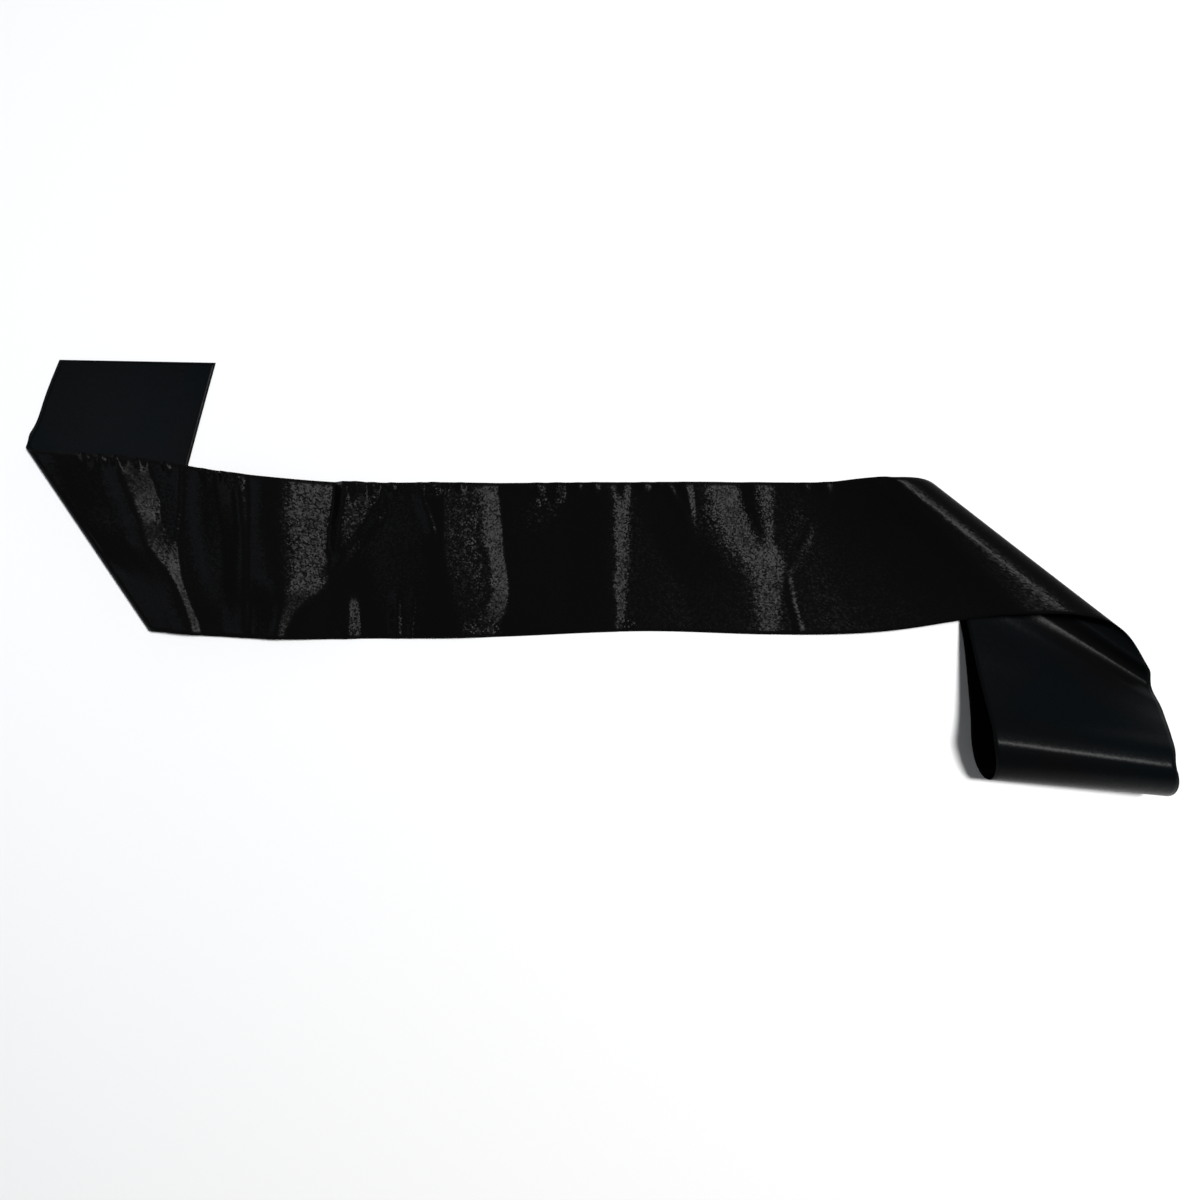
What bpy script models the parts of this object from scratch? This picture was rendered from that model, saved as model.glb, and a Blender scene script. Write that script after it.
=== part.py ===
"""Satin sash: one long strip of black satin, dropped flat on a surface.

The strip starts at a cut end (the end flap), folds under itself along a slant, runs right as the
main band with soft ridges across it, folds under in a second slant, the slant fold, comes down as
the drop, rolls over at the bottom in a loose loop and runs back on the surface as the tail.

It is modelled as straight rulings, lines that cross the strip from edge to edge. A smooth curve
through the ends of the rulings carries each long edge, and the cloth is the wall between them.
Lengths are millimetres up to the mesh, which is in metres. X is right, Y is away, Z is up.
"""

import bpy
import numpy as np

MILLIMETRE = 0.001

# Cloth wall, and the distance that two stretches stay apart where one strip is split in two
WALL = 1.0
SEAM = 0.6

# Mid height of cloth that lies on the surface
LYING = WALL / 2

# Middle of the sash's box in the table's frame, which becomes the origin
BOX_MIDDLE = (-7.68, 16.41)

# Mesh steps: along the strip, across it, and round each roll
STEP_ALONG = 6.0
STEPS_ACROSS = 8
STEPS_ROUND = 8

# Edge a is the upper long edge of the main band and edge b its lower one. On the flap and the
# drop, edge a is the left one. A row gives where its ruling meets each edge.
RULINGS = (
    # name           a_x    a_y    a_z     b_x    b_y    b_z
    ("cut_end",     -360.0, 160.0, LYING, -256.0, 158.0, LYING),
    ("flap_1",      -371.0, 131.5, LYING, -281.0,  64.0, LYING),
    ("flap_2",      -378.5, 113.0, LYING, -298.0,  -0.5, LYING),
    ("flap_fold",   -380.8, 107.5, LYING, -301.0, -12.5, LYING),
    ("band_fold",   -373.0,  99.0,  8.0,  -291.5, -21.0,   8.0),
    ("fold_crest",  -326.0,  95.5,  4.8,  -281.0, -22.0,   8.0),
    ("flap_middle", -298.0,  93.2,  3.6,  -262.0, -23.5,   5.8),
    ("flap_side",   -272.5,  89.0,  2.4,  -236.0, -25.0,   2.8),
    ("band_start",  -240.0,  83.5, LYING, -213.0, -26.0, LYING),
    ("band_1",      -200.0,  79.5, LYING, -183.0, -26.0, LYING),
    ("band_2",      -160.0,  78.2, LYING, -155.0, -25.8, LYING),
    ("band_3",       -58.0,  78.0, LYING,  -58.0, -24.2, LYING),
    ("band_4",        32.0,  78.5, LYING,   34.0, -20.8, LYING),
    ("band_5",        80.0,  78.5, LYING,   88.0, -22.2, LYING),
    ("band_end",     126.5,  78.0,  3.4,   160.0, -22.5,   4.2),
    ("rise_1",       152.0,  78.0,  7.4,   205.0, -18.5,   9.4),
    ("rise_2",       171.0,  79.5, 14.0,   250.0, -11.0,  18.5),
    ("rise_3",       184.0,  79.5, 22.4,   279.0,  -9.0,  26.4),
    ("fold_top",     190.5,  79.0, 24.0,   300.5,  -9.0,  29.0),
    ("fold_under",   233.0,  43.0,  2.5,   356.0, -44.0,  17.5),
    ("valley_edge",  235.0,  30.0,  1.2,   360.0, -52.5,  12.6),
    ("valley",       235.5,  26.0,  1.0,   360.5, -55.5,  12.0),
    ("valley_side",  236.0,  21.0,  1.2,   361.0, -58.5,  12.5),
    ("drop_1",       239.0,   5.0,  2.6,   362.5, -68.0,  19.0),
    ("drop_2",       243.5, -36.0, 15.5,   361.5, -78.0,  28.0),
    ("drop_3",       246.5, -66.0, 27.0,   359.5, -86.5,  37.0),
    ("drop_4",       247.5, -84.0, 36.0,   356.5, -97.0,  46.3),
    ("loop_top",     247.5, -90.5, 37.6,   356.0, -104.0, 48.2),
    ("loop_foot",    249.5, -106.0, LYING, 366.0, -120.5, LYING),
    ("tail_1",       247.0, -82.0, LYING,  354.0, -95.0, LYING),
    ("tail_2",       244.5, -50.0, LYING,  343.0, -63.0, LYING),
    ("tail_3",       242.5, -30.0, LYING,  336.5, -42.0, LYING),
    ("tail_end",     237.0,   0.0, LYING,  328.0, -14.0, LYING),
)

# A roll turns the cloth over between a ruling and the next, and bulges out past them at each edge
ROLLS = (
    # first ruling  bulge_a x, y    bulge_b x, y
    ("flap_fold",  (-3.3, -2.3),   (-3.3, -2.3)),
    ("fold_top",    (9.4, 11.7),    (6.5, 8.2)),
    ("loop_top",    (4.0, -17.8),   (3.5, -13.5)),
)

# Each stretch of the strip that shows is one piece, from one ruling to another. The main band is
# parted in the valleys between its ridges, so that no piece bends round a hollow more than once
STRETCHES = (
    # node          first ruling   last ruling
    ("end_flap",    "cut_end",     "flap_fold"),
    ("corner_fold", "flap_fold",   "flap_side"),
    ("band_left",   "flap_side",   "band_2"),
    ("band_middle", "band_2",      "band_3"),
    ("band_centre", "band_3",      "band_4"),
    ("band_right",  "band_4",      "rise_1"),
    ("slant_fold",  "rise_1",      "fold_under"),
    ("drop",        "fold_under",  "loop_foot"),
    ("tail",        "loop_foot",   "tail_end"),
)

# Ridges across the main band: a slow rise from the left, a crest, and a quicker fall to the right
RIDGES = (
    # crest_x at edge a, at edge b, height, rise, fall
    (-318.0, -270.0, 3.2, 21.0, 20.0),
    (-217.0, -212.0, 10.5, 34.0, 41.0),
    (-104.0,  -99.0, 6.5, 46.0, 42.0),
    (9.0,      11.0, 2.0, 36.0, 14.0),
    (74.0,    103.0, 3.0, 48.0, 22.0),
    (104.0,   120.0, 1.0, 14.0, 12.0),
)

# Edges of the main band, between which a ridge leans from its place on one to that on the other
BAND_TOP = 78.0
BAND_BOTTOM = -22.0

SATIN_BLACK = (0.010, 0.010, 0.011, 1.0)
REVERSE_BLACK = (0.012, 0.014, 0.018, 1.0)
SATIN_ROUGHNESS = 0.35
REVERSE_ROUGHNESS = 0.75


def smooth_curve(stations, places, at):
    """Cubic curve through places (rows, columns) given at stations, with no bend at its ends.

    The second derivatives at the stations solve the usual three-term equations of a spline.
    """
    count = len(stations)
    gap = np.diff(stations)
    slope = np.diff(places, axis=0) / gap[:, None]
    matrix = np.eye(count)
    wanted = np.zeros_like(places)
    for i in range(1, count - 1):
        matrix[i, i - 1] = gap[i - 1]
        matrix[i, i] = 2 * (gap[i - 1] + gap[i])
        matrix[i, i + 1] = gap[i]
        wanted[i] = 6 * (slope[i] - slope[i - 1])
    bend = np.linalg.solve(matrix, wanted)

    span = np.clip(np.searchsorted(stations, at, side="right") - 1, 0, count - 2)
    length = gap[span][:, None]
    left = (stations[span + 1] - at)[:, None]
    right = (at - stations[span])[:, None]
    cubic = (bend[span] * left**3 + bend[span + 1] * right**3) / (6 * length)
    start = places[span] / length - bend[span] * length / 6
    end = places[span + 1] / length - bend[span + 1] * length / 6
    return cubic + start * left + end * right


def level_curve(stations, heights, at):
    """Curve through heights that stays level between equal ones and never overshoots.

    The slope at a station is the harmonic mean of the slopes before and after it, or none where
    the height turns there. Each gap is the cubic that has its two heights and two slopes.
    """
    gap = np.diff(stations)
    slope = np.diff(heights, axis=0) / gap[:, None]
    before = slope[:-1]
    after = slope[1:]
    product = before * after
    total = np.where(product > 0, before + after, 1.0)
    lean = np.zeros_like(heights)
    lean[1:-1] = np.where(product > 0, 2 * product / total, 0.0)

    span = np.clip(np.searchsorted(stations, at, side="right") - 1, 0, len(gap) - 1)
    length = gap[span][:, None]
    share = (at - stations[span])[:, None] / length
    rise = heights[span + 1] - heights[span]
    blend = share**2 * (3 - 2 * share)
    leaving = share * (1 - share) ** 2 * lean[span]
    arriving = share**2 * (share - 1) * lean[span + 1]
    return heights[span] + rise * blend + length * (leaving + arriving)


def roll_rows(first, last, bulges):
    """Rulings round a roll from first to last, without those two.

    The plan goes evenly from first to last and bulges by a sine. The height follows a cosine, so
    the roll is half an ellipse from the side.
    """
    rows = []
    for i in range(1, STEPS_ROUND):
        share = i / STEPS_ROUND
        turn = np.pi * share
        row = first + (last - first) * share
        row[:, :2] += bulges * np.sin(turn)
        row[:, 2] = (first[:, 2] + last[:, 2]) / 2 + (first[:, 2] - last[:, 2]) / 2 * np.cos(turn)
        rows.append(row)
    return rows


def all_rulings():
    """Every ruling in order, with the rolls filled in, and the index of each named one."""
    rulings = []
    index = {}
    rolls = {first: np.array(bulges) for first, *bulges in ROLLS}
    for number, (name, *ends) in enumerate(RULINGS):
        index[name] = len(rulings)
        ruling = np.array(ends).reshape(2, 3)
        rulings.append(ruling)
        if name in rolls:
            following = np.array(RULINGS[number + 1][1:]).reshape(2, 3)
            rulings.extend(roll_rows(ruling, following, rolls[name]))
    return np.array(rulings), index


def ridge_height(x, y):
    """Height that the ridges add at a place: for each, a cosine rise to its crest and fall from it."""
    down = np.clip((BAND_TOP - y) / (BAND_TOP - BAND_BOTTOM), 0.0, 1.0)
    height = np.zeros_like(x)
    for crest_a, crest_b, tall, rise, fall in RIDGES:
        offset = x - (crest_a + (crest_b - crest_a) * down)
        share = np.where(offset < 0, -offset / rise, offset / fall)
        height += tall * (0.5 + 0.5 * np.cos(np.pi * np.clip(share, 0.0, 1.0)))
    return height


def cloth_middle(at, across, stations, rulings, band):
    """Points half way through the cloth: straight from edge a to edge b.

    Between the two stations of the band the ridges raise them.
    """
    plan = smooth_curve(stations, rulings[..., :2].reshape(-1, 4), at).reshape(-1, 2, 2)
    heights = level_curve(stations, rulings[..., 2], at)
    edges = np.concatenate((plan, heights[..., None]), axis=2)
    share = across[None, :, None]
    points = edges[:, :1] * (1 - share) + edges[:, 1:] * share
    on_band = (at > band[0]) & (at < band[1])
    points[..., 2] += ridge_height(points[..., 0], points[..., 1]) * on_band[:, None]
    return points


def cloth_normals(points):
    """Unit normals of a grid of points, from the steps along and across it."""
    along = np.gradient(points, axis=0)
    across = np.gradient(points, axis=1)
    normals = np.cross(across, along)
    return normals / np.linalg.norm(normals, axis=2, keepdims=True)


def stations_along(stations, first, last):
    """Places along the strip between two rulings, each gap between rulings split in even steps."""
    places = [stations[first] + SEAM / 2]
    for i in range(first, last):
        steps = max(1, round((stations[i + 1] - stations[i]) / STEP_ALONG))
        places.extend(np.linspace(stations[i], stations[i + 1], steps + 1)[1:])
    places[-1] -= SEAM / 2
    return np.array(places)


def wall_mesh(name, points):
    """Closed wall of cloth round a grid of points: a face sheet, a back sheet and a rim."""
    half = cloth_normals(points) * WALL / 2
    face = (points + half).reshape(-1, 3)
    back = (points - half).reshape(-1, 3)
    vertices = np.concatenate((face, back))
    vertices[:, :2] -= BOX_MIDDLE

    long_count, wide_count = points.shape[:2]
    number = np.arange(long_count * wide_count).reshape(long_count, wide_count)
    corners = (number[:-1, :-1], number[:-1, 1:], number[1:, 1:], number[1:, :-1])
    quads = np.stack([corner.ravel() for corner in corners], axis=1)
    rim = np.concatenate((number[0, :-1], number[:-1, -1], number[-1, :0:-1], number[:0:-1, 0]))
    following = np.roll(rim, -1)
    back_start = number.size
    edge_quads = np.stack((following, rim, rim + back_start, following + back_start), axis=1)
    faces = np.concatenate((quads, quads[:, ::-1] + back_start, edge_quads))

    mesh = bpy.data.meshes.new(name)
    mesh.from_pydata((vertices * MILLIMETRE).tolist(), [], faces.tolist())
    mesh.shade_smooth()
    mesh.set_sharp_from_angle(angle=np.radians(50))
    return mesh


def satin_material(name, colour, roughness):
    """Principled material in one plain colour."""
    material = bpy.data.materials.new(name)
    material.use_nodes = True
    shader = material.node_tree.nodes["Principled BSDF"]
    shader.inputs["Base Color"].default_value = colour
    shader.inputs["Roughness"].default_value = roughness
    shader.inputs["Metallic"].default_value = 0.0
    return material


def build_sash():
    """Makes one object for each stretch of the strip."""
    rulings, index = all_rulings()
    middles = rulings.mean(axis=1)
    steps = np.linalg.norm(np.diff(middles, axis=0), axis=1)
    stations = np.concatenate(([0.0], np.cumsum(steps)))
    across = np.linspace(0.0, 1.0, STEPS_ACROSS + 1)
    band = stations[index["band_fold"]], stations[index["fold_top"]]
    for node, first, last in STRETCHES:
        at = stations_along(stations, index[first], index[last])
        points = cloth_middle(at, across, stations, rulings, band)
        sheet = bpy.data.objects.new(node, wall_mesh(node, points))
        reverse = node == "end_flap"
        colour = REVERSE_BLACK if reverse else SATIN_BLACK
        roughness = REVERSE_ROUGHNESS if reverse else SATIN_ROUGHNESS
        sheet.data.materials.append(satin_material(node + "_cloth", colour, roughness))
        bpy.context.scene.collection.objects.link(sheet)


for old in list(bpy.data.objects):
    bpy.data.objects.remove(old, do_unlink=True)
build_sash()
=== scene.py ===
# %% [markdown]
# The satin sash is one long strip of black satin, dropped flat on a table and seen from straight
# above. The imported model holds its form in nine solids. This script dresses that form: one thin
# continuous cloth with its creases, two satin finishes, a pale floor, studio light and the camera.
# Loading the frame comes first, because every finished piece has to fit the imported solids.

import bpy
import numpy as np
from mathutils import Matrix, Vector


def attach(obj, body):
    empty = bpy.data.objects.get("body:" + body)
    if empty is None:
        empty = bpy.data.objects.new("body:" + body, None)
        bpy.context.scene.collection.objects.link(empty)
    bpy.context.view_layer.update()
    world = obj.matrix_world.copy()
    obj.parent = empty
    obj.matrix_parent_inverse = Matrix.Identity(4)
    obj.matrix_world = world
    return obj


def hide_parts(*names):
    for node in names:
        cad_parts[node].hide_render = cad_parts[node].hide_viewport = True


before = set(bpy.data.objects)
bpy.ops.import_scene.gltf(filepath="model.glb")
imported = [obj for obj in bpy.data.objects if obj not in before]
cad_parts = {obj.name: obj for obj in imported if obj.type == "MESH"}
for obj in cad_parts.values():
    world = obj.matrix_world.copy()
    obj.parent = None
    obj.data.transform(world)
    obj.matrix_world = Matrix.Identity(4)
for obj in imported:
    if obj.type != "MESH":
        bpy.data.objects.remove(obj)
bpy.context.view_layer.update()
print("solids:", sorted(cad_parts))

# %% [markdown]
# Measures taken over a photograph are easiest to keep in the table's own millimetres, with the
# camera's foot as the origin, X to the right and Y away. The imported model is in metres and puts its
# origin under the middle of its box. The points could be converted one by one, but one shift and one
# scale at the end take the whole cloth there. WIDTH is the strip's mean width, because the photo shows
# it a little wider at its ends. LYING is half of the solids' wall: the height of the cloth's middle
# where it rests on the table.

# %% Measures
MILLIMETRE = 0.001
BOX_MIDDLE = np.array([-7.68, 16.41])
WIDTH = 104.0
LYING = 0.5
print("the strip is", WIDTH, "mm wide")

# %% [markdown]
# A strip of cloth bends one way at a time, so it is a ruled surface: straight lines cross it from
# edge to edge. It could be sculpted from a flat grid instead, but then its width would drift. The
# same lines as in the solids carry the cloth here. Edge a is the upper long edge of the main band and
# edge b its lower one. Each row gives where its line meets each edge.

# %% Lines across the strip
RULINGS = (
    # name           a_x    a_y    a_z     b_x    b_y    b_z
    ("cut_end",     -360.0, 160.0, LYING, -256.0, 158.0, LYING),
    ("flap_1",      -371.0, 131.5, LYING, -281.0,  64.0, LYING),
    ("flap_2",      -378.5, 113.0, LYING, -298.0,  -0.5, LYING),
    ("flap_fold",   -380.8, 107.5, LYING, -301.0, -12.5, LYING),
    ("band_fold",   -373.0,  99.0,  8.0,  -291.5, -21.0,   8.0),
    ("fold_crest",  -326.0,  95.5,  4.8,  -281.0, -22.0,   8.0),
    ("flap_middle", -298.0,  93.2,  3.6,  -262.0, -23.5,   5.8),
    ("flap_side",   -272.5,  89.0,  2.4,  -236.0, -25.0,   2.8),
    ("band_start",  -240.0,  83.5, LYING, -213.0, -26.0, LYING),
    ("band_1",      -200.0,  79.5, LYING, -183.0, -26.0, LYING),
    ("band_2",      -160.0,  78.2, LYING, -155.0, -25.8, LYING),
    ("band_3",       -58.0,  78.0, LYING,  -58.0, -24.2, LYING),
    ("band_4",        32.0,  78.5, LYING,   34.0, -20.8, LYING),
    ("band_5",        80.0,  78.5, LYING,   88.0, -22.2, LYING),
    ("band_end",     126.5,  78.0,  3.4,   160.0, -22.5,   4.2),
    ("rise_1",       152.0,  78.0,  7.4,   205.0, -18.5,   9.4),
    ("rise_2",       171.0,  79.5, 14.0,   250.0, -11.0,  18.5),
    ("rise_3",       184.0,  79.5, 22.4,   279.0,  -9.0,  26.4),
    ("fold_top",     190.5,  79.0, 24.0,   300.5,  -9.0,  29.0),
    ("fold_under",   233.0,  43.0,  2.5,   356.0, -44.0,  17.5),
    ("valley_edge",  235.0,  30.0,  1.2,   360.0, -52.5,  12.6),
    ("valley",       235.5,  26.0,  1.0,   360.5, -55.5,  12.0),
    ("valley_side",  236.0,  21.0,  1.2,   361.0, -58.5,  12.5),
    ("drop_1",       239.0,   5.0,  2.6,   362.5, -68.0,  19.0),
    ("drop_2",       243.5, -36.0, 15.5,   361.5, -78.0,  28.0),
    ("drop_3",       246.5, -66.0, 27.0,   359.5, -86.5,  37.0),
    ("drop_4",       247.5, -84.0, 36.0,   356.5, -97.0,  46.3),
    ("loop_top",     247.5, -90.5, 37.6,   356.0, -104.0, 48.2),
    ("loop_foot",    249.5, -106.0, LYING, 366.0, -120.5, LYING),
    ("tail_1",       247.0, -82.0, LYING,  354.0, -95.0, LYING),
    ("tail_2",       244.5, -50.0, LYING,  343.0, -63.0, LYING),
    ("tail_3",       242.5, -30.0, LYING,  336.5, -42.0, LYING),
    ("tail_end",     237.0,   0.0, LYING,  328.0, -14.0, LYING),
)
ROLLS = {
    # first line    bulge of edge a   bulge of edge b
    "flap_fold":  ((-3.3, -2.3),     (-3.3, -2.3)),
    "fold_top":   ((9.4, 11.7),      (6.5, 8.2)),
    "loop_top":   ((4.0, -17.8),     (3.5, -13.5)),
}
STEPS_ROUND = 24
print(len(RULINGS), "lines across the strip and", len(ROLLS), "rolls")

# %% [markdown]
# A long edge of the cloth bends evenly, with no corner where two given lines meet. A cubic spline
# does that for the plan. Heights need another curve, because a spline swings past its points and
# would push the cloth through the table. One that never passes its points keeps flat cloth flat.

# %% Smooth curves


def smooth_curve(stations, places, at):
    """Cubic spline through places (rows, columns) at stations, with no bend at either end.

    Each gap is a cubic, and the second derivatives solve the usual three-term equations.
    """
    count = len(stations)
    gap = np.diff(stations)
    slope = np.diff(places, axis=0) / gap[:, None]
    matrix = np.eye(count)
    wanted = np.zeros_like(places)
    inner = np.arange(1, count - 1)
    matrix[inner, inner - 1] = gap[:-1]
    matrix[inner, inner] = 2 * (gap[:-1] + gap[1:])
    matrix[inner, inner + 1] = gap[1:]
    wanted[inner] = 6 * np.diff(slope, axis=0)
    bend = np.linalg.solve(matrix, wanted)
    span = np.clip(np.searchsorted(stations, at, side="right") - 1, 0, count - 2)
    length = gap[span][:, None]
    left = (stations[span + 1] - at)[:, None]
    right = (at - stations[span])[:, None]
    cubic = (bend[span] * left**3 + bend[span + 1] * right**3) / (6 * length)
    start = places[span] / length - bend[span] * length / 6
    end = places[span + 1] / length - bend[span + 1] * length / 6
    return cubic + start * left + end * right


def level_curve(stations, values, at):
    """Cubic through values (rows, columns) at stations that never passes beyond them.

    Its slope at a station is the harmonic mean of those before and after, or none at a turn.
    """
    gap = np.diff(stations)
    slope = np.diff(values, axis=0) / gap[:, None]
    before, after = slope[:-1], slope[1:]
    product = before * after
    total = np.where(product > 0, before + after, 1.0)
    lean = np.zeros_like(values)
    lean[1:-1] = np.where(product > 0, 2 * product / total, 0.0)
    span = np.clip(np.searchsorted(stations, at, side="right") - 1, 0, len(gap) - 1)
    length = gap[span][..., None]
    share = (at - stations[span])[..., None] / length
    blend = share**2 * (3 - 2 * share)
    leaving = share * (1 - share) ** 2 * lean[span]
    arriving = share**2 * (share - 1) * lean[span + 1]
    rise = values[span + 1] - values[span]
    return values[span] + rise * blend + length * (leaving + arriving)


trial = np.array([0.0, 1.0, 2.0, 3.0])
step = np.array([[0.0], [0.0], [1.0], [1.0]])
beside_step = np.array([0.5, 2.5])
print("beside a step the spline swings to", smooth_curve(trial, step, beside_step).ravel())
print("and the other curve stays at", level_curve(trial, step, beside_step).ravel())

# %% [markdown]
# The strip turns over three times: tightly at the left, softly at the right and in the loop. A roll
# could be a few hand-placed lines, but half an ellipse needs only its two end lines and how far it
# bulges, and stays round however finely it is cut.

# %% Fill in the rolls


def roll_rows(first, last, bulges):
    """Lines round half a roll: an even step from first to last, pushed out by bulges times a sine.

    The height follows a cosine, so the roll is half an ellipse from the side.
    """
    share = np.linspace(0.0, 1.0, STEPS_ROUND + 1)[1:-1, None, None]
    rows = first + (last - first) * share
    rows[..., :2] += bulges * np.sin(np.pi * share)
    swing = (first[:, 2] - last[:, 2]) / 2 * np.cos(np.pi * share[..., 0])
    rows[..., 2] = (first[:, 2] + last[:, 2]) / 2 + swing
    return rows


def fill_rolls():
    """All lines in order with the rolls filled in, and the index of each named line."""
    lines = []
    index = {}
    for number, (name, *ends) in enumerate(RULINGS):
        index[name] = len(lines)
        line = np.array(ends).reshape(2, 3)
        lines.append(line)
        if name in ROLLS:
            following = np.array(RULINGS[number + 1][1:]).reshape(2, 3)
            lines.extend(roll_rows(line, following, np.array(ROLLS[name])))
    return np.array(lines), index


lines, line_index = fill_rolls()
line_gaps = np.linalg.norm(np.diff(lines.mean(axis=1), axis=0), axis=1)
stations = np.concatenate(([0.0], np.cumsum(line_gaps)))
print("the strip is", round(stations[-1]), "mm long")

# %% [markdown]
# Satin glints only where it mirrors the lamp to the viewer, so each glint in the photo tells how the
# cloth slopes there. Glints painted on would stay where they are when the view turns, so here the
# slopes make them. Between the camera's direction and the lamp's lies the direction that the cloth
# must face. A long soft ridge that falls at that slope on its right shows as one bright streak, and
# the streak has a crisp side where the slope begins or ends in a crease.

# %% Slope that mirrors the lamp
CAMERA_HEIGHT = 650.0
LAMP_TOWARDS = np.array([0.4, 0.12, 1.0])


def mirror_slope(x):
    """Fall to the right, per mm, of cloth at x that mirrors the lamp.

    It is the sideways part over the upright part of the sum of the unit directions to the camera
    and to the lamp.
    """
    lamp = LAMP_TOWARDS / np.linalg.norm(LAMP_TOWARDS)
    reach = np.hypot(x, CAMERA_HEIGHT)
    return (lamp[0] - x / reach) / (lamp[2] + CAMERA_HEIGHT / reach)


band_places = np.array([-300.0, 0.0, 120.0])
print("mirror slope at the left, middle and right:", mirror_slope(band_places).round(3))

# %% [markdown]
# The creases of the band are soft ridges, no two alike. Noise could make ridges, but not these, so
# each is listed in rows from the far edge of the band to the near one. A ridge rises gently
# from the left, may stay level for a while, and falls to the right between two lines. The share is
# how near the fall comes to the mirror slope: at 1 it glints, and at 0.4 it only glimmers. A fall
# that crosses the rise of another ridge needs a share above 1 to reach the same slope.

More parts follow.
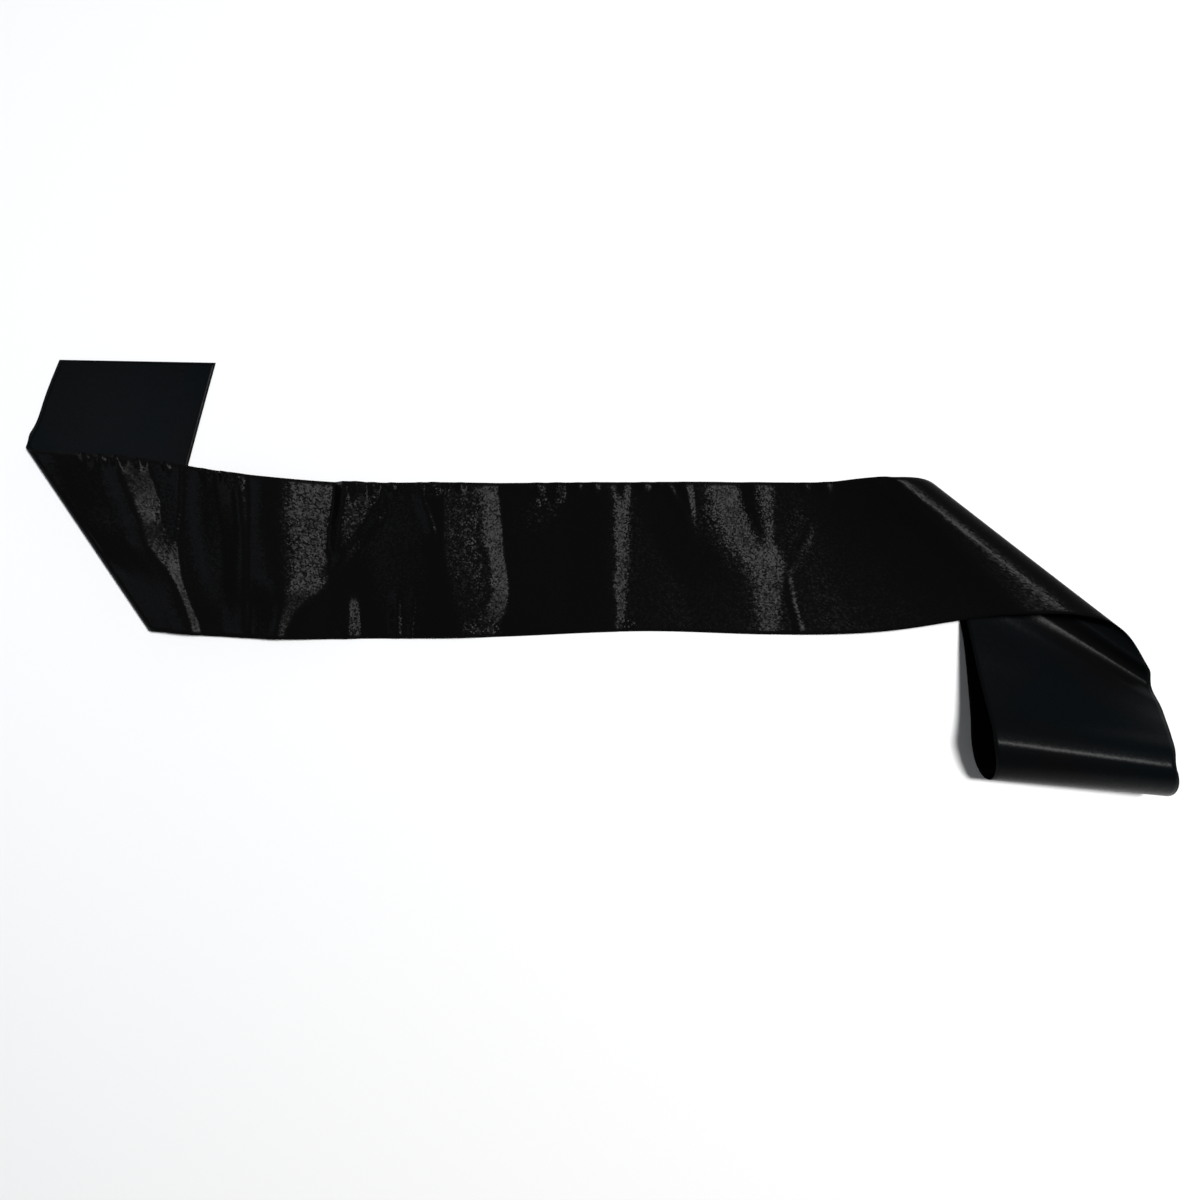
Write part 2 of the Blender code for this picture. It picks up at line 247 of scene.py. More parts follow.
# %% Ridges of the main band
RIDGES = {
    # name: rows of  y, rise, level, fall from, fall to, soft left, soft right, share
    "over_flap": (
        (96.0, 45.0, 2.0, -320.0, -298.0, 6.0, 4.0, 0.88),
        (67.0, 42.0, 2.0, -311.0, -290.0, 6.0, 3.0, 0.93),
        (53.0, 40.0, 2.0, -305.0, -288.5, 5.0, 3.0, 0.93),
        (37.0, 36.0, 2.0, -300.0, -279.0, 5.0, 2.5, 0.90),
        (27.0, 32.0, 2.0, -293.0, -276.5, 5.0, 2.5, 0.90),
        (15.0, 28.0, 1.0, -284.0, -275.0, 3.0, 2.0, 0.88),
        (0.0, 24.0, 1.0, -276.5, -270.0, 2.0, 2.0, 0.85),
        (-24.0, 18.0, 1.0, -269.5, -262.0, 2.0, 2.0, 0.90),
    ),
    "over_flap_line": (
        (90.0, 6.0, 0.0, -279.0, -276.0, 1.0, 1.0, 0.85),
        (67.0, 6.0, 0.0, -279.0, -276.0, 1.0, 1.0, 0.90),
        (47.0, 6.0, 0.0, -281.0, -278.0, 1.0, 1.0, 0.90),
        (30.0, 6.0, 0.0, -282.0, -279.5, 1.0, 1.0, 0.60),
        (20.0, 6.0, 0.0, -282.0, -279.5, 1.0, 1.0, 0.00),
    ),
    "left_faint": (
        (84.0, 16.0, 0.0, -240.0, -228.0, 5.0, 5.0, 1.60),
        (62.0, 16.0, 0.0, -238.0, -227.5, 4.5, 4.5, 1.45),
        (42.0, 14.0, 0.0, -236.5, -228.0, 4.0, 4.0, 1.20),
        (20.0, 14.0, 0.0, -236.5, -228.5, 3.8, 3.8, 1.05),
        (-24.0, 14.0, 0.0, -236.5, -228.5, 3.8, 3.8, 1.05),
    ),
    "left_broad": (
        (82.0, 54.0, 0.0, -221.0, -175.0, 20.0, 3.0, 0.95),
        (57.0, 54.0, 0.0, -221.5, -175.5, 20.0, 2.0, 0.95),
        (37.0, 54.0, 0.0, -220.0, -178.0, 20.0, 3.0, 0.95),
        (17.0, 54.0, 0.0, -217.0, -178.5, 16.0, 4.0, 0.95),
        (5.0, 52.0, 0.0, -214.0, -184.0, 11.0, 4.0, 0.97),
        (-4.0, 50.0, 0.0, -212.0, -194.0, 6.0, 4.0, 0.97),
        (-14.0, 46.0, 0.0, -213.0, -202.5, 2.5, 2.5, 0.97),
        (-26.0, 46.0, 0.0, -215.0, -206.0, 2.5, 2.5, 0.97),
    ),
    "left_apron": (
        (20.0, 26.0, 22.0, -188.0, -160.0, 10.0, 10.0, 0.0),
        (5.0, 26.0, 20.0, -190.0, -156.0, 10.0, 10.0, 0.30),
        (-10.0, 26.0, 12.0, -198.0, -158.0, 6.0, 6.0, 0.42),
        (-26.0, 26.0, 8.0, -205.0, -160.0, 6.0, 6.0, 0.42),
    ),
    "left_patch": (
        (8.0, 14.0, 0.0, -167.0, -159.0, 2.0, 2.0, 0.0),
        (-6.0, 14.0, 0.0, -167.0, -159.0, 2.0, 2.0, 0.85),
        (-26.0, 14.0, 0.0, -167.0, -158.0, 2.0, 2.0, 1.0),
    ),
    "slant_crease": (
        (66.0, 8.0, 0.0, -143.0, -139.5, 1.0, 1.0, 0.00),
        (57.0, 8.0, 0.0, -146.0, -141.5, 1.0, 1.0, 1.50),
        (35.0, 8.0, 0.0, -164.0, -159.5, 1.0, 1.0, 1.05),
        (20.0, 8.0, 0.0, -177.0, -172.5, 1.0, 1.0, 1.00),
        (8.0, 8.0, 0.0, -187.0, -184.0, 1.0, 1.0, 0.00),
    ),
    "left_echo": (
        (84.0, 9.0, 0.0, -168.0, -143.0, 3.0, 6.0, 1.20),
        (68.0, 9.0, 0.0, -169.0, -144.0, 3.0, 6.0, 1.12),
        (50.0, 9.0, 0.0, -172.0, -151.0, 3.0, 6.0, 1.00),
        (36.0, 9.0, 0.0, -174.0, -160.0, 3.0, 5.0, 0.85),
        (24.0, 9.0, 0.0, -176.0, -166.0, 3.0, 3.0, 0.00),
    ),
    "middle_dim": (
        (82.0, 62.0, 0.0, -102.0, -76.0, 3.0, 5.0, 0.48),
        (70.0, 62.0, 0.0, -104.5, -76.0, 2.0, 5.0, 0.60),
        (40.0, 62.0, 0.0, -104.5, -77.0, 2.0, 5.0, 0.60),
        (10.0, 60.0, 0.0, -101.0, -71.0, 4.0, 5.0, 0.52),
        (-10.0, 56.0, 0.0, -98.0, -74.0, 6.0, 5.0, 0.46),
        (-26.0, 56.0, 0.0, -95.0, -70.0, 8.0, 8.0, 0.60),
    ),
    "middle_crisp": (
        (82.0, 62.0, 22.0, -81.0, -67.0, 5.0, 2.2, 0.95),
        (53.0, 62.0, 24.0, -80.5, -64.5, 5.0, 2.0, 0.97),
        (40.0, 62.0, 23.0, -80.5, -63.5, 5.0, 2.0, 0.97),
        (30.0, 60.0, 24.0, -77.5, -62.5, 5.0, 2.0, 0.97),
        (7.0, 60.0, 27.0, -74.5, -59.5, 5.0, 2.0, 0.97),
        (-8.0, 56.0, 20.0, -79.0, -61.5, 6.0, 3.0, 0.95),
        (-17.0, 56.0, 15.0, -81.0, -65.5, 6.0, 5.0, 0.85),
        (-26.0, 56.0, 15.0, -81.0, -65.5, 6.0, 6.0, 0.45),
    ),
    "middle_line": (
        (76.0, 7.0, 0.0, -119.0, -116.0, 0.8, 0.8, 0.00),
        (66.0, 7.0, 0.0, -117.0, -113.5, 1.2, 1.2, 1.20),
        (47.0, 7.0, 0.0, -110.5, -107.0, 1.2, 1.2, 1.10),
        (38.0, 7.0, 0.0, -109.0, -106.0, 0.8, 0.8, 0.00),
    ),
    "near_lines": (
        (10.0, 7.0, 0.0, -123.0, -120.0, 1.2, 1.2, 0.00),
        (0.0, 7.0, 0.0, -123.5, -120.5, 1.3, 1.3, 1.15),
        (-26.0, 7.0, 0.0, -126.0, -123.0, 1.3, 1.3, 1.20),
    ),
    "near_lines_left": (
        (10.0, 7.0, 0.0, -134.0, -131.0, 1.4, 1.4, 0.00),
        (-2.0, 7.0, 0.0, -135.0, -130.5, 2.0, 2.0, 1.15),
        (-26.0, 7.0, 0.0, -135.0, -129.5, 2.2, 2.2, 1.15),
    ),
    "centre_thin": (
        (82.0, 34.0, 0.0, 2.0, 13.0, 4.5, 4.0, 1.0),
        (67.0, 34.0, 0.0, 7.5, 20.0, 4.5, 6.0, 1.0),
        (47.0, 34.0, 0.0, 7.0, 22.5, 5.0, 8.0, 1.0),
        (27.0, 34.0, 0.0, 8.5, 21.0, 4.5, 6.0, 1.0),
        (7.0, 34.0, 0.0, 7.5, 20.0, 4.5, 6.0, 1.0),
        (-5.0, 34.0, 0.0, 10.0, 18.5, 3.5, 3.5, 1.0),
        (-26.0, 34.0, 0.0, 8.5, 15.0, 3.0, 3.0, 1.0),
    ),
    "centre_fork": (
        (82.0, 6.0, 0.0, 16.0, 22.0, 1.5, 1.5, 1.0),
        (70.0, 6.0, 0.0, 16.0, 21.0, 1.5, 1.5, 0.90),
        (60.0, 6.0, 0.0, 17.0, 21.0, 1.5, 1.5, 0.0),
    ),
    "twin_left": (
        (82.0, 8.0, 0.0, 43.0, 47.5, 1.0, 1.0, 1.20),
        (72.0, 8.0, 0.0, 48.0, 52.5, 1.0, 1.0, 1.20),
        (57.0, 8.0, 0.0, 56.0, 59.5, 1.0, 1.0, 0.90),
        (46.0, 8.0, 0.0, 59.0, 62.0, 1.0, 1.0, 0.0),
    ),
    "twin_right": (
        (82.0, 8.0, 0.0, 55.0, 61.5, 1.2, 1.2, 1.25),
        (70.0, 8.0, 0.0, 58.0, 63.5, 1.2, 1.2, 1.20),
        (57.0, 8.0, 0.0, 60.0, 64.0, 1.0, 1.0, 1.10),
        (40.0, 8.0, 0.0, 62.5, 65.0, 1.0, 1.0, 0.0),
    ),
    "right_diagonal": (
        (82.0, 48.0, 0.0, 68.0, 93.0, 9.0, 5.0, 1.00),
        (59.0, 48.0, 0.0, 73.0, 100.5, 10.0, 6.0, 1.00),
        (43.0, 48.0, 0.0, 79.0, 111.0, 12.0, 6.0, 1.00),
        (33.0, 48.0, 0.0, 84.0, 123.0, 14.0, 6.0, 1.00),
        (20.0, 48.0, 0.0, 92.0, 127.0, 13.0, 6.0, 1.00),
        (7.0, 48.0, 0.0, 99.0, 124.0, 8.0, 6.0, 1.00),
        (-7.0, 48.0, 0.0, 102.0, 122.0, 6.0, 6.0, 1.00),
        (-26.0, 48.0, 0.0, 103.0, 122.0, 6.0, 6.0, 1.00),
    ),
    "right_branch": (
        (82.0, 9.0, 0.0, 102.0, 118.0, 4.5, 4.5, 1.0),
        (57.0, 9.0, 0.0, 105.0, 118.0, 4.0, 4.0, 1.0),
        (40.0, 8.0, 0.0, 110.0, 117.0, 2.5, 2.5, 0.90),
        (30.0, 8.0, 0.0, 112.0, 116.0, 1.5, 1.5, 0.0),
    ),
    "right_crease": (
        (54.0, 5.0, 0.0, 141.5, 145.0, 1.0, 1.0, 0.00),
        (45.0, 5.0, 0.0, 139.0, 142.5, 1.0, 1.0, 1.30),
        (27.0, 5.0, 0.0, 130.0, 133.5, 1.0, 1.0, 1.15),
        (18.0, 5.0, 0.0, 125.0, 128.5, 1.0, 1.0, 0.90),
        (0.0, 5.0, 0.0, 127.5, 131.0, 1.0, 1.0, 1.00),
        (-22.0, 5.0, 0.0, 132.5, 136.0, 1.0, 1.0, 1.10),
    ),
}
print(len(RIDGES), "ridges in", sum(len(rows) for rows in RIDGES.values()), "rows")

# %% [markdown]
# A ridge's height is worked out backwards from its fall: how steep the fall has to be and how wide it
# is say how tall the ridge stands. Both of its sides are steps whose slope grows and fades evenly,
# so the satin shows a glint with soft sides instead of a hard stripe.

# %% Height of the ridges
SOFT_RISE = 0.25


def step_share(x, start, end, soft_start, soft_end):
    """From 0 at start to 1 at end: the slope grows over soft_start, holds, and fades over soft_end.

    It is the area under that slope up to x, over the whole area.
    """
    width = end - start
    first = np.clip(x - start, 0.0, soft_start)
    held = np.clip(x - start - soft_start, 0.0, width - soft_start - soft_end)
    last = np.clip(x - end + soft_end, 0.0, soft_end)
    area = first**2 / (2 * soft_start) + held + last - last**2 / (2 * soft_end)
    return area / (width - (soft_start + soft_end) / 2)


def ridge_height(x, y):
    """Sum of the ridges: each rises by a soft step, and falls by one as steep as its share asks.

    A ridge is as tall as its slope times the width that its fall would have with hard ends.
    """
    height = np.zeros_like(x)
    for rows in RIDGES.values():
        table = np.array(rows)
        values = level_curve(-table[:, 0], table[:, 1:], np.clip(-y, -table[0, 0], -table[-1, 0]))
        rise, level, start, end, soft_start, soft_end, share = np.moveaxis(values, -1, 0)
        slope = mirror_slope((start + end) / 2) * share
        tall = slope * (end - start - (soft_start + soft_end) / 2)
        top = start - level
        up = step_share(x, top - rise, top, rise * SOFT_RISE, rise * SOFT_RISE)
        height += tall * (up - step_share(x, start, end, soft_start, soft_end))
    return height


quarters = np.array([0.0, 2.0, 4.0, 6.0, 8.0])
print("a soft step at its quarters:", step_share(quarters, 0.0, 8.0, 2.0, 2.0).round(2))

# %% [markdown]
# The far edge of the band is held a little tighter than the cloth beside it, which puckers it. A wave
# along the edge would be quick to make, but real puckers come singly and unevenly. Each one here is
# a small bump of its own that fades within a few millimetres from the edge.

# %% Puckers along the far edge
PUCKERS = (
    # x, half width, how far it reaches in, share of the mirror slope
    (-338.0, 5.0, 4.5, 1.60),
    (-327.0, 4.0, 5.0, 1.60),
    (-316.0, 5.0, 5.0, 1.50),
    (-304.0, 4.0, 4.5, 1.30),
    (-288.0, 4.0, 4.5, 1.50),
    (-262.0, 4.5, 4.0, 1.60),
    (-248.0, 4.0, 4.5, 1.60),
    (-160.0, 6.0, 8.0, 1.80),
    (-150.0, 5.0, 5.5, 1.80),
    (-138.0, 4.0, 5.0, 1.80),
    (-119.0, 4.0, 4.0, 1.80),
    (-110.0, 5.5, 6.0, 1.80),
    (-92.0, 4.0, 4.0, 1.40),
    (-42.0, 6.0, 6.0, 1.50),
    (-29.0, 7.0, 9.0, 1.50),
    (-15.0, 4.0, 3.5, 1.40),
    (-4.0, 5.0, 4.5, 1.40),
    (29.0, 6.0, 4.5, 1.40),
    (39.0, 4.0, 3.5, 1.40),
    (135.0, 4.0, 3.5, 2.40),
    (148.0, 6.0, 6.0, 3.00),
)


def pucker_height(x, inward):
    """Sum of the puckers: small round bumps on the edge that fade with the distance inward from it.

    Along the edge a bump is one minus the squared distance, squared, and inwards it is a bell.
    """
    height = np.zeros_like(x)
    for place, half, reach, share in PUCKERS:
        tall = mirror_slope(place) * share * half
        away = np.clip(abs(x - place) / half, 0.0, 1.0)
        bump = 1 - away**2 * (2 - away**2)
        height += tall * bump * np.exp(-((inward / reach) ** 2))
    return height


pucker_places = np.array([place for place, half, reach, share in PUCKERS])
pucker_tops = pucker_height(pucker_places, np.zeros_like(pucker_places))
print(len(PUCKERS), "puckers, up to", pucker_tops.max().round(2), "mm tall")

# %% [markdown]
# Now the surface itself. Each edge follows its curve, straight lines join the two edges, and the
# ridges and puckers lift the points of the long band. A cloth simulation could drape the strip too,
# but its creases would fall where they like, and these have to fall where the photo shows them.

# %% The cloth's middle surface
ROWS_ALONG = 1310
ROWS_ACROSS = 36
ROLL_GAP = 5.0
PLAIN_DETAIL = 0.4


def on_band(at):
    """True at the stations of the long band, from the left fold to the top of the right one."""
    return (at > stations[line_index["band_fold"]]) & (at < stations[line_index["fold_top"]])


def cloth_middle(at, across):
    """Points half way through the cloth: straight from edge a to edge b, raised by ridges and puckers."""
    plan = smooth_curve(stations, lines[..., :2].reshape(-1, 4), at).reshape(-1, 2, 2)
    heights = level_curve(stations, lines[..., 2], at)
    edges = np.concatenate((plan, heights[..., None]), axis=2)
    share = across[None, :, None]
    points = edges[:, :1] * (1 - share) + edges[:, 1:] * share
    inward = np.broadcast_to(across * WIDTH, points.shape[:2])
    raised = ridge_height(points[..., 0], points[..., 1]) + pucker_height(points[..., 0], inward)
    points[..., 2] += raised * on_band(at)[:, None]
    return points


def even_stations(count):
    """Places along the strip, in equal steps of a length that counts plain cloth as shorter.

    So they are close together on the creased band and in the rolls, and wider apart elsewhere.
    """
    middles = (stations[1:] + stations[:-1]) / 2
    detail = np.where(on_band(middles) | (line_gaps < ROLL_GAP), 1.0, PLAIN_DETAIL)
    weight = np.concatenate(([0.0], np.cumsum(line_gaps * detail)))
    return np.interp(np.linspace(0.0, weight[-1], count), weight, stations)


at = even_stations(ROWS_ALONG + 1)
across = np.linspace(0.0, 1.0, ROWS_ACROSS + 1)
middle = cloth_middle(at, across)
print("steps along are", np.diff(at).min().round(2), "to", np.diff(at).max().round(2), "mm")
print("the cloth reaches", middle[..., 2].max().round(1), "mm above the table")

# %% [markdown]
# Real satin is about 0.3 mm thick and has a glossy face and a dull reverse. A flat sheet with one
# material on its back faces would look right from above, but it would have no edge. So the cloth is
# a closed shell: the face on one side, the reverse on the other, and a narrow rim round both.
# Because one strip carries both sides, the flap and the drop, which are folded over, show the
# reverse with nothing more to decide.

# %% Make the shell
CLOTH = 0.35
CORNERS = 4
FACE, REVERSE, RIM = 0, 1, 2


def cloth_normals(points):
    """Unit normals of a grid of points, from its steps along and across."""
    along = np.gradient(points, axis=0)
    across = np.gradient(points, axis=1)
    normals = np.cross(across, along)
    return normals / np.linalg.norm(normals, axis=2, keepdims=True)


def closed_shell(name, points, thickness):
    """Mesh of a grid of points moved out by half the thickness both ways, with a rim between."""
    outward = cloth_normals(points) * (thickness / 2)
    face = (points + outward).reshape(-1, 3)
    reverse = (points - outward).reshape(-1, 3)
    both = np.concatenate((face, reverse))
    both[:, :2] -= BOX_MIDDLE
    long_count, wide_count = points.shape[:2]
    number = np.arange(long_count * wide_count).reshape(long_count, wide_count)
    corners = (number[:-1, :-1], number[:-1, 1:], number[1:, 1:], number[1:, :-1])
    quads = np.stack([corner.ravel() for corner in corners], axis=1)
    rim = np.concatenate((number[0, :-1], number[:-1, -1], number[-1, :0:-1], number[:0:-1, 0]))
    following = np.roll(rim, -1)
    rim_quads = np.stack((following, rim, rim + number.size, following + number.size), axis=1)
    faces = np.concatenate((quads, quads[:, ::-1] + number.size, rim_quads))

    mesh = bpy.data.meshes.new(name)
    mesh.vertices.add(len(both))
    mesh.vertices.foreach_set("co", (both * MILLIMETRE).ravel())
    mesh.loops.add(faces.size)
    mesh.loops.foreach_set("vertex_index", faces.ravel().astype(np.int32))
    mesh.polygons.add(len(faces))
    mesh.polygons.foreach_set("loop_start", np.arange(0, faces.size, CORNERS, dtype=np.int32))
    side = np.full(len(faces), FACE, dtype=np.int32)
    side[len(quads):2 * len(quads)] = REVERSE
    side[2 * len(quads):] = RIM
    mesh.polygons.foreach_set("material_index", side)
    mesh.update(calc_edges=True)
    mesh.validate()
    mesh.shade_smooth()
    return mesh, faces, len(quads)


sash_mesh, sash_faces, side_count = closed_shell("sash", middle, CLOTH)
sash = bpy.data.objects.new("sash", sash_mesh)
bpy.context.scene.collection.objects.link(sash)
print("sash has", 2 * len(sash_faces), "triangles")

# %% [markdown]
# Threads run along and across the strip wherever it is folded. A pattern on object coordinates would
# run straight through the folds, so the finish needs coordinates that travel with the cloth. Each
# corner gets its place on the flat cut: how far along and how far across.

# %% Lay the pattern coordinates on the cloth
HALF_MAP = 0.5


def lay_coordinates(mesh, faces, quad_count):
    """UV map whose U runs along the strip and V across it, and the same places in millimetres.

    The face takes the lower half of the map and the reverse the upper half.
    """
    along_mm, across_mm = np.meshgrid(at, across * WIDTH, indexing="ij")
    place = np.stack((along_mm.ravel(), across_mm.ravel(), np.zeros(along_mm.size)), axis=1)
    places = np.concatenate((place, place))
    attribute = mesh.attributes.new("strip_mm", "FLOAT_VECTOR", "POINT")
    attribute.data.foreach_set("vector", places.ravel().astype(np.float32))
    corner = faces.ravel()
    uv = places[corner, :2] / (stations[-1], 2 * WIDTH)
    uv[CORNERS * quad_count:2 * CORNERS * quad_count, 1] += HALF_MAP
    layer = mesh.uv_layers.new(name="strip")
    layer.data.foreach_set("uv", uv.ravel().astype(np.float32))


lay_coordinates(sash_mesh, sash_faces, side_count)
print("coordinates laid:", [layer.name for layer in sash_mesh.uv_layers])

# %% [markdown]
# Handling leaves small areas where the satin is crumpled too finely to model crease by crease. They
# show as scattered specks. Bump from noise would spread them over the whole band, so here they are
# soft patches, listed one by one, in a point attribute that the face material reads as more uneven
# threads.

# %% Where the cloth is crumpled
CRUMPLED = (
    # x, y, half length, half width, turned by degrees, strength
    (-158.0, 58.0, 22.0, 28.0, 0.0, 0.24),
    (-197.0, 40.0, 22.0, 42.0, 0.0, 0.12),
    (-91.0, 32.0, 13.0, 40.0, 0.0, 0.06),
    (-80.0, -20.0, 16.0, 7.0, 0.0, 0.35),
    (-73.0, 32.0, 12.0, 56.0, 0.0, 0.07),
    (-42.0, 57.0, 17.0, 10.0, 30.0, 0.32),
    (-33.0, 70.0, 12.0, 7.0, 20.0, 0.35),
    (-128.0, -12.0, 10.0, 14.0, 0.0, 0.24),
    (-162.0, -17.0, 7.0, 14.0, 0.0, 0.14),
    (-112.0, 74.0, 12.0, 5.0, 0.0, 0.60),
    (-240.0, 78.0, 7.0, 6.0, 0.0, 0.50),
    (-287.0, 55.0, 8.0, 24.0, 0.0, 0.22),
    (15.0, 32.0, 12.0, 56.0, 0.0, 0.08),
    (70.0, 56.0, 6.0, 16.0, -20.0, 0.10),
    (90.0, 55.0, 26.0, 34.0, -30.0, 0.08),
    (99.0, 62.0, 7.0, 18.0, 0.0, 0.14),
    (112.0, 0.0, 14.0, 30.0, 0.0, 0.06),
    (131.0, 47.0, 10.0, 18.0, 0.0, 0.10),
    (18.0, -17.0, 6.0, 5.0, 0.0, 0.30),
)


def crumple_strength(x, y):
    """Sum of soft oval patches: each has its strength at its middle and fades as a flat-topped bell.

    The bell is e to the power of minus the fourth power of the distance, in half lengths.
    """
    strength = np.zeros_like(x)
    for middle_x, middle_y, half_x, half_y, turned, strong in CRUMPLED:
        turn = np.radians(turned)
        right = (x - middle_x) * np.cos(turn) + (y - middle_y) * np.sin(turn)
        away = (y - middle_y) * np.cos(turn) - (x - middle_x) * np.sin(turn)
        strength += strong * np.exp(-(((right / half_x) ** 2 + (away / half_y) ** 2) ** 2))
    return strength


def lay_crumple(mesh, points):
    """Point attribute crumple on both sides of the shell, laid on the band and nowhere else."""
    strength = (crumple_strength(points[..., 0], points[..., 1]) * on_band(at)[:, None]).ravel()
    attribute = mesh.attributes.new("crumple", "FLOAT", "POINT")
    attribute.data.foreach_set("value", np.concatenate((strength, strength)).astype(np.float32))
    return strength


crumple = lay_crumple(sash_mesh, middle)
print(len(CRUMPLED), "crumpled patches, of strength up to", crumple.max().round(2))

# %% [markdown]
# Colours are picked as sRGB hex values, as an eye reads them on a screen, and one function turns
# them to the linear values that the shader wants. Another small function adds a node.

# %% Helpers for materials


def linear(code):
    """Linear RGBA of an sRGB hex colour.

    A channel c becomes (c + 0.055) / 1.055 to the power 2.4, or c / 12.92 when it is dark.
    """
    channels = np.array([int(code[i:i + 2], 16) for i in (1, 3, 5)]) / 255
    bright = ((channels + 0.055) / 1.055) ** 2.4
    return (*np.where(channels > 0.04045, bright, channels / 12.92), 1.0)


def add(tree, kind, inputs, **settings):
    """Adds one node, sets its properties, and gives each input its value or its link."""
    made = tree.nodes.new(kind)
    for name, value in settings.items():
        setattr(made, name, value)
    for name, value in inputs.items():
        socket = made.inputs[name] if isinstance(name, int) else next(
            each for each in made.inputs if each.name == name and each.enabled)
        if isinstance(value, bpy.types.NodeSocket):
            tree.links.new(value, socket)
        else:
            socket.default_value = value
    return made


def new_material(name):
    """Empty material with its Principled shader, which is handed back with the node tree."""
    material = bpy.data.materials.new(name)
    material.use_nodes = True
    tree = material.node_tree
    return material, tree, tree.nodes["Principled BSDF"]


print("middle grey is", round(linear("#808080")[0], 3), "in linear light")

# %% [markdown]
# Satin is woven so that long threads float on its face, and the floats mirror light along one line.
# The face is black polyester, so all that shows of its form is that mirroring. An even gloss would
# turn each glint into a clean stripe. So the shader is anisotropic, narrow along the strip and wide
# across it, and each small cell is tilted by its own amount, as floats lie a little unevenly, which
# breaks the glints into specks. Real floats are a few tenths of a millimetre apart, too fine to show
# here, so the cells are drawn 1 mm wide. The specular level is matched to the photo, where even the
# glints are only dark grey.

# %% Satin face
SPECK = 1.0
CELL_MIDDLE = (0.5, 0.5, 0.5)
LEAN = 0.115
LEAN_CRUMPLED = 0.9
SATIN_ROUGHNESS = 0.3
SATIN_SPECULAR = 0.03
POLYESTER_IOR = 1.5
ALONG_FLOATS = 0.8
QUARTER_TURN = 0.25


def uneven_floats(tree, place, lean):
    """Direction that the cloth faces, tilted in each small cell by its own random share of lean."""
    cells = add(tree, "ShaderNodeTexVoronoi", {"Vector": place, "Scale": 1 / SPECK})
    random = add(tree, "ShaderNodeVectorMath", {0: cells.outputs["Color"], 1: CELL_MIDDLE},
                 operation="SUBTRACT")
    tilt = add(tree, "ShaderNodeVectorMath", {0: random.outputs["Vector"], "Scale": lean},
               operation="SCALE")
    smooth = add(tree, "ShaderNodeNewGeometry", {}).outputs["Normal"]
    tilted = add(tree, "ShaderNodeVectorMath", {0: smooth, 1: tilt.outputs["Vector"]}, operation="ADD")
    facing = add(tree, "ShaderNodeVectorMath", {0: tilted.outputs["Vector"]}, operation="NORMALIZE")
    return facing.outputs["Vector"]


def satin_face():
    """Polyester satin, face side: near black, glossy along the floats, with uneven floats."""
    material, tree, shader = new_material("satin_face")
    place = add(tree, "ShaderNodeAttribute", {}, attribute_name="strip_mm").outputs["Vector"]
    crumple = add(tree, "ShaderNodeAttribute", {}, attribute_name="crumple").outputs["Fac"]
    lean = add(tree, "ShaderNodeMapRange", {"Value": crumple, "To Min": LEAN, "To Max": LEAN_CRUMPLED})
    facing = uneven_floats(tree, place, lean.outputs["Result"])
    tangent = add(tree, "ShaderNodeTangent", {}, direction_type="UV_MAP", uv_map="strip")
    shader.inputs["Base Color"].default_value = linear("#090909")
    shader.inputs["Roughness"].default_value = SATIN_ROUGHNESS
    shader.inputs["IOR"].default_value = POLYESTER_IOR
    shader.inputs["Specular IOR Level"].default_value = SATIN_SPECULAR
    shader.inputs["Anisotropic"].default_value = ALONG_FLOATS
    shader.inputs["Anisotropic Rotation"].default_value = QUARTER_TURN
    tree.links.new(tangent.outputs["Tangent"], shader.inputs["Tangent"])
    tree.links.new(facing, shader.inputs["Normal"])
    return material


sash_mesh.materials.append(satin_face())
print("finish", FACE, "is", sash_mesh.materials[FACE].name)

# %% [markdown]
# On the reverse only short pieces of the floating threads show. It is smoother in its glints, a
# little bluer, and its tint drifts softly from place to place, as dyed cloth does. One blue black
# would look like painted card, so slow noise mixes two blacks that differ only a little.

# %% Satin reverse
LEAN_REVERSE = 0.05
TINT_PATCH = 70.0
NOISE_LOW = 0.38
NOISE_HIGH = 0.62


def satin_reverse():
    """Polyester satin, reverse side: the short side of the floats, with no grain, a little blue."""
    material, tree, shader = new_material("satin_reverse")
    place = add(tree, "ShaderNodeAttribute", {}, attribute_name="strip_mm").outputs["Vector"]
    patches = add(tree, "ShaderNodeTexNoise", {"Vector": place, "Scale": 1 / TINT_PATCH, "Detail": 1.0})
    share = add(tree, "ShaderNodeMapRange", {
        "Value": patches.outputs["Fac"], "From Min": NOISE_LOW, "From Max": NOISE_HIGH})
    mix = {"Factor": share.outputs["Result"], "A": linear("#09090a"), "B": linear("#070a0c")}
    tint = add(tree, "ShaderNodeMix", mix, data_type="RGBA")
    shader.inputs["Roughness"].default_value = SATIN_ROUGHNESS
    shader.inputs["IOR"].default_value = POLYESTER_IOR
    shader.inputs["Specular IOR Level"].default_value = SATIN_SPECULAR
    colour = next(each for each in tint.outputs if each.enabled)
    tree.links.new(colour, shader.inputs["Base Color"])
    tree.links.new(uneven_floats(tree, place, LEAN_REVERSE), shader.inputs["Normal"])
    return material


sash_mesh.materials.append(satin_reverse())
print("finish", REVERSE, "is", sash_mesh.materials[REVERSE].name)

# %% [markdown]
# The cut edge shows thread ends. It could take the face's finish, but a rim this narrow would then
# draw a bright line round the sash wherever it mirrors the lamp. Thread ends have no gloss, so it is
# as dark as the cloth and quite matte.

# %% Cut edge
MATTE = 0.9


def cut_edge():
    """Edge of the cloth: the ends of the threads, which scatter what light they get."""
    material, tree, shader = new_material("satin_cut_edge")
    shader.inputs["Base Color"].default_value = linear("#060606")
    shader.inputs["Roughness"].default_value = MATTE
    shader.inputs["Specular IOR Level"].default_value = 0.0
    return material


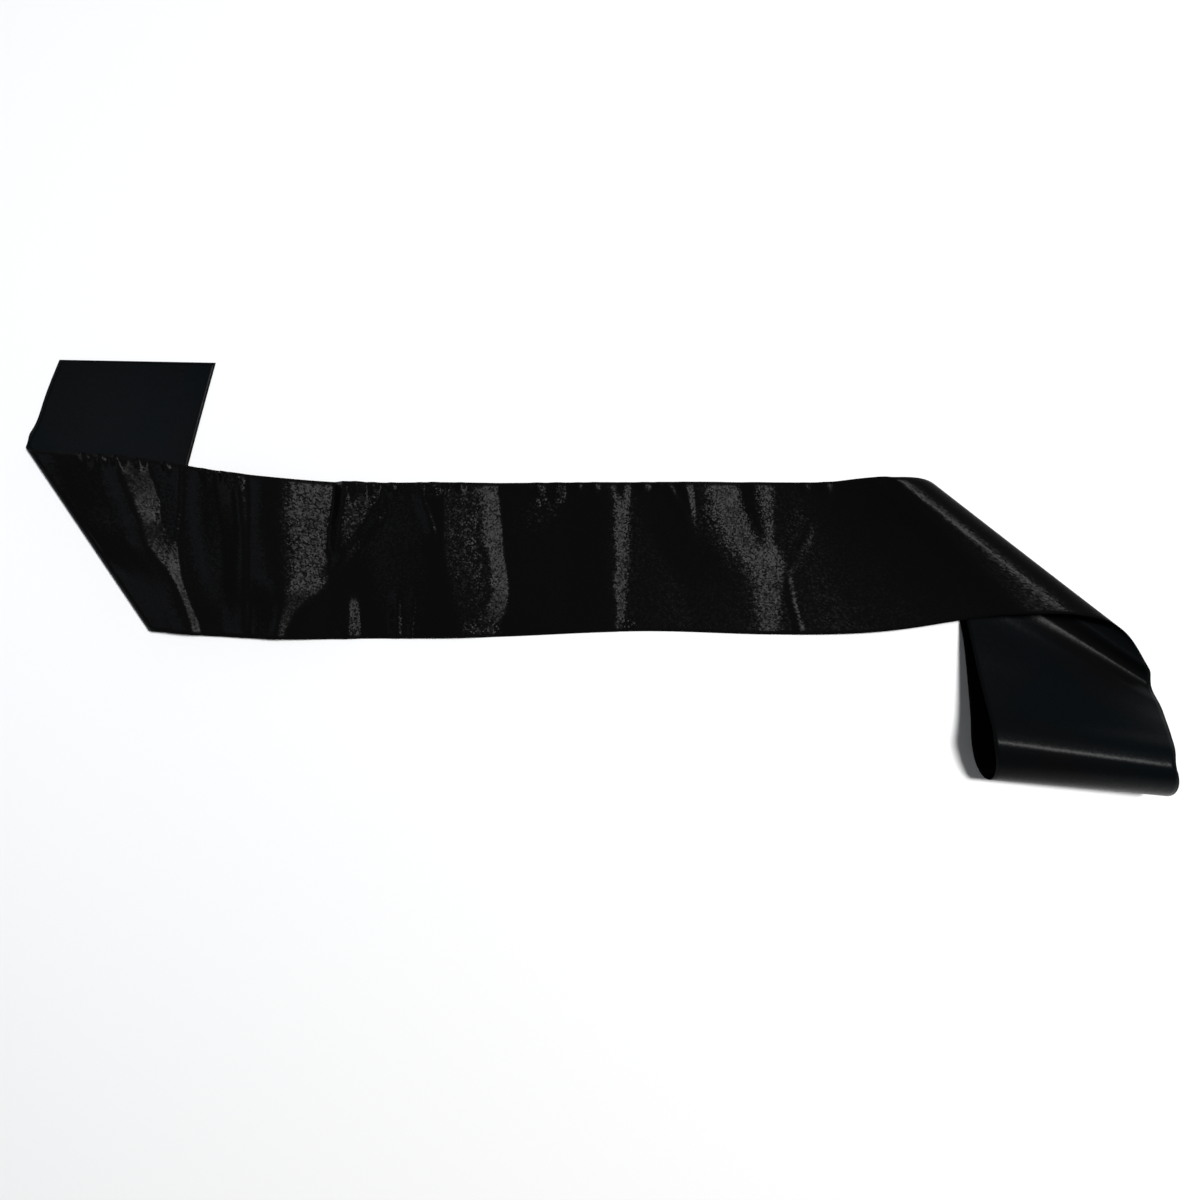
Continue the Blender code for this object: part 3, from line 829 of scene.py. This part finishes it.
sash_mesh.materials.append(cut_edge())
print("finish", RIM, "is", sash_mesh.materials[RIM].name)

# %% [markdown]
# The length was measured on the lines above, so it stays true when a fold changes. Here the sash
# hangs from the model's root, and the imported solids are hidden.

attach(sash, "root")
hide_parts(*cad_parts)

# %% [markdown]
# The sash lies on a plain white table top, which is so bright in the photo that it has no texture. A
# bare background would do from above, but the cloth's shadows need something to fall on.

# %% Floor
FLOOR_SIZE = 6.0


def make_floor():
    """Flat square under the sash, matte and nearly white."""
    mesh = bpy.data.meshes.new("floor")
    half = FLOOR_SIZE / 2
    corners = [(-half, -half, 0.0), (half, -half, 0.0), (half, half, 0.0), (-half, half, 0.0)]
    mesh.from_pydata(corners, [], [(0, 1, 2, 3)])
    floor = bpy.data.objects.new("floor", mesh)
    material, tree, shader = new_material("matte_white_board")
    shader.inputs["Base Color"].default_value = linear("#f2f2f2")
    shader.inputs["Roughness"].default_value = MATTE
    shader.inputs["Specular IOR Level"].default_value = 0.0
    mesh.materials.append(material)
    bpy.context.scene.collection.objects.link(floor)
    return floor


floor = make_floor()
print("the floor is", FLOOR_SIZE, "m wide")

# %% [markdown]
# The photo looks straight down: the long edges run level and no side of the cloth shows. Its frame
# is 800 mm wide on the table, and a camera held over a table is about 650 mm up. The lens follows
# from the two.

# %% Camera
FRAME_WIDTH = 800.0
SENSOR = 36.0


def make_camera():
    """Camera that looks straight down on the middle of the photo."""
    data = bpy.data.cameras.new("camera")
    data.sensor_width = SENSOR
    data.lens = SENSOR * CAMERA_HEIGHT / FRAME_WIDTH
    camera = bpy.data.objects.new("camera", data)
    camera.location = np.array([*-BOX_MIDDLE, CAMERA_HEIGHT]) * MILLIMETRE
    bpy.context.scene.collection.objects.link(camera)
    bpy.context.scene.camera = camera
    return camera


camera = make_camera()
print("lens", round(camera.data.lens, 2), "mm")

# %% [markdown]
# One soft lamp stands high on the right and a little away. The glints give its direction. A small
# bluish window hangs over the left end, where the flap is lighter than the band. It could be far
# away, but only a near one is mirrored by flat cloth at the left and hardly by the slopes further
# right. The room is dim overhead and bright low down, which keeps flat satin black and the table
# white.

# %% Light
LAMP_DISTANCE = 3.0
LAMP_SIZE = 0.45
LAMP_POWER = 100.0
WINDOW_PLACE = (-0.603, 0.114, 0.6)
WINDOW_WIDE = 0.24
WINDOW_DEEP = 0.36
WINDOW_POWER = 0.75
HORIZON = 0.05
OVERHEAD = 0.4
WALLS_BRIGHT = 1.2
CEILING_DIM = 0.05


def make_lamp():
    """Square area lamp that faces the middle of the table from LAMP_TOWARDS."""
    data = bpy.data.lights.new("lamp", "AREA")
    data.size = LAMP_SIZE
    data.energy = LAMP_POWER
    lamp = bpy.data.objects.new("lamp", data)
    place = LAMP_TOWARDS / np.linalg.norm(LAMP_TOWARDS) * LAMP_DISTANCE
    lamp.location = place
    lamp.rotation_euler = Vector(place).to_track_quat("Z", "Y").to_euler()
    bpy.context.scene.collection.objects.link(lamp)


def make_window():
    """Small bluish rectangle of light over the left end, facing down."""
    data = bpy.data.lights.new("window", "AREA")
    data.shape = "RECTANGLE"
    data.size = WINDOW_WIDE
    data.size_y = WINDOW_DEEP
    data.energy = WINDOW_POWER
    data.color = linear("#dfecff")[:3]
    window = bpy.data.objects.new("window", data)
    window.location = WINDOW_PLACE
    window.visible_camera = False
    bpy.context.scene.collection.objects.link(window)


def make_room():
    """World that fades softly from bright walls at HORIZON to a dim ceiling from OVERHEAD up.

    Both say how far up a direction of length one points.
    """
    world = bpy.data.worlds.new("room")
    world.use_nodes = True
    tree = world.node_tree
    direction = add(tree, "ShaderNodeTexCoord", {}).outputs["Generated"]
    parts = add(tree, "ShaderNodeSeparateXYZ", {"Vector": direction})
    fade = {"Value": parts.outputs["Z"], "From Min": HORIZON, "From Max": OVERHEAD,
            "To Min": WALLS_BRIGHT, "To Max": CEILING_DIM}
    low = add(tree, "ShaderNodeMapRange", fade, interpolation_type="SMOOTHSTEP")
    walls = tree.nodes["Background"]
    walls.inputs["Color"].default_value = (1.0, 1.0, 1.0, 1.0)
    tree.links.new(low.outputs["Result"], walls.inputs["Strength"])
    bpy.context.scene.world = world


make_lamp()
make_window()
make_room()
bpy.context.scene.view_settings.view_transform = "Standard"
print("the lamp gives", LAMP_POWER, "W and the window", WINDOW_POWER, "W")
